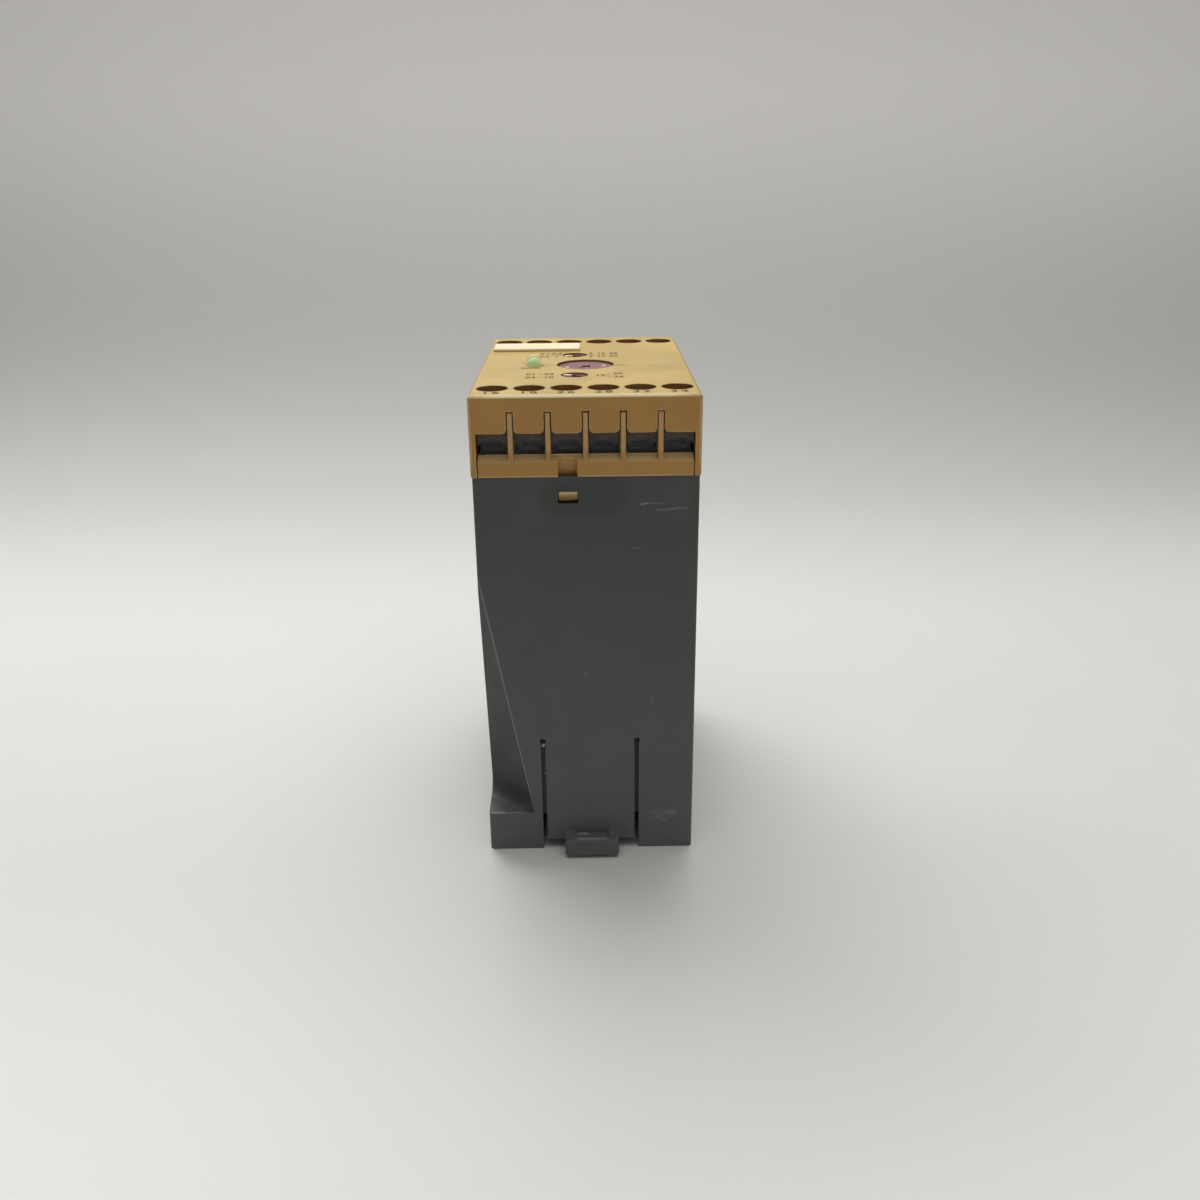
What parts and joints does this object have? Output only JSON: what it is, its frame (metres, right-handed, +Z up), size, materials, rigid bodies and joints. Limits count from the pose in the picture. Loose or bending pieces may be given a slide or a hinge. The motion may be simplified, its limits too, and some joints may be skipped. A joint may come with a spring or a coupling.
{
  "type": "timer relay",
  "caption": "Rail-mounted multifunction timer relay: slim upright housing with screw terminals at both ends, a time dial, two selectors and a status lamp on the panel.",
  "frame": {"origin": "on the plane of the feet, in the middle of the rail recess", "axes": "+Z up from the rail side to the panel, +X across the width along the rail, -Y towards the terminal face with the latch tongue"},
  "size_m": [0.045, 0.0771, 0.1034],
  "materials": {
    "dark_plastic": "fine moulded texture, scuffed",
    "ochre_plastic": "fine moulded texture",
    "black_plastic": "moulded",
    "cream_plastic": "smooth write-on",
    "pink_plastic": "smooth",
    "red_plastic": "smooth",
    "green_lens": "translucent lens",
    "plated_steel": "zinc plated",
    "bar_brass": "bare",
    "core_steel": "lacquered laminations",
    "coil_tape": "wrapped tape",
    "board_laminate": "lacquered laminate",
    "relay_case": "smooth case",
    "capacitor_sleeve": "shrink sleeve"
  },
  "bodies": {
    "housing": {"base_housing": "dark_plastic", "board_connector": "black_plastic", "front_board": "board_laminate", "front_cover": "ochre_plastic", "function_switch": "black_plastic", "main_board": "board_laminate", "marker_plate": "cream_plastic", "output_relay_a": "relay_case", "output_relay_b": "relay_case", "range_switch": "black_plastic", "status_led": "green_lens", "supply_capacitor": "capacitor_sleeve", "surge_varistor": "coil_tape", "terminal_bar_01": "bar_brass", "terminal_bar_02": "bar_brass", "terminal_bar_03": "bar_brass", "terminal_bar_04": "bar_brass", "terminal_bar_05": "bar_brass", "terminal_bar_06": "bar_brass", "terminal_bar_07": "bar_brass", "terminal_bar_08": "bar_brass", "terminal_bar_09": "bar_brass", "terminal_bar_10": "bar_brass", "terminal_bar_11": "bar_brass", "terminal_bar_12": "bar_brass", "terminal_block_far": "black_plastic", "terminal_block_near": "black_plastic", "terminal_clamp_01": "plated_steel", "terminal_clamp_02": "plated_steel", "terminal_clamp_03": "plated_steel", "terminal_clamp_04": "plated_steel", "terminal_clamp_05": "plated_steel", "terminal_clamp_06": "plated_steel", "terminal_clamp_07": "plated_steel", "terminal_clamp_08": "plated_steel", "terminal_clamp_09": "plated_steel", "terminal_clamp_10": "plated_steel", "terminal_clamp_11": "plated_steel", "terminal_clamp_12": "plated_steel", "terminal_comb_far": "ochre_plastic", "terminal_comb_near": "ochre_plastic", "terminal_screws": "plated_steel", "time_potentiometer": "black_plastic", "timer_chip": "black_plastic", "timing_capacitor": "capacitor_sleeve", "transformer_coil": "coil_tape", "transformer_core": "core_steel"},
    "latch_tongue": {"rail_latch_tongue": "dark_plastic"},
    "time_dial": {"time_dial": "pink_plastic"},
    "function_selector": {"function_selector": "red_plastic"},
    "range_selector": {"range_selector": "red_plastic"}
  },
  "joints": [
    {"name": "latch_flex", "type": "hinge", "parent": "housing", "child": "latch_tongue", "pos_m": [0, -0.03525, 0.02665], "axis": [-1, 0, 0], "range_deg": [0, 6], "stiffness_Nm_per_rad": 3.5},
    {"name": "time_dial_turn", "type": "hinge", "parent": "housing", "child": "time_dial", "pos_m": [0.0002, -0.00295, 0.101], "axis": [0, 0, 1], "range_deg": [-135, 135]},
    {"name": "function_selector_turn", "type": "hinge", "parent": "housing", "child": "function_selector", "pos_m": [-0.0021, -0.0155, 0.101], "axis": [0, 0, 1], "range_deg": [-135, 135]},
    {"name": "range_selector_turn", "type": "hinge", "parent": "housing", "child": "range_selector", "pos_m": [-0.0021, 0.0096, 0.101], "axis": [0, 0, 1], "range_deg": [-135, 135]}
  ]
}
